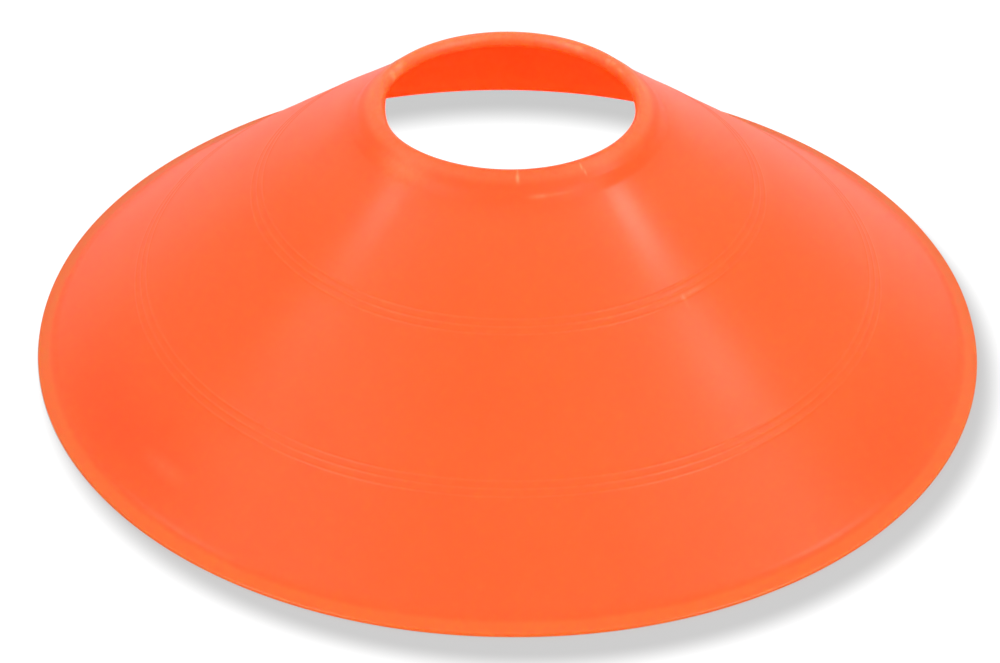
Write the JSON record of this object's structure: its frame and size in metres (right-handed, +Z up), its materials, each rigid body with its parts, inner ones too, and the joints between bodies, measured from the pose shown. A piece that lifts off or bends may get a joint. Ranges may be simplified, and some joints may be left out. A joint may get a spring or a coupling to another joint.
{
  "type": "sports marker cone",
  "caption": "Low saucer cone for marking out pitches and drills: one moulded shell with a flat foot, a ridged conical skirt and an open collar to stack and carry it by.",
  "frame": {"origin": "centre of the foot's flat underside, on the ground", "axes": "+Z up along the cone's axis; X and Y lie in the ground plane, and the cone is the same all round"},
  "size_m": [0.19, 0.19, 0.0524],
  "materials": {
    "soft_plastic": "bright orange soft polyethylene with a satin sheen, slightly translucent at its thin edges, with light scuffs"
  },
  "bodies": {
    "root": {"cone_shell": "soft_plastic"}
  },
  "joints": []
}
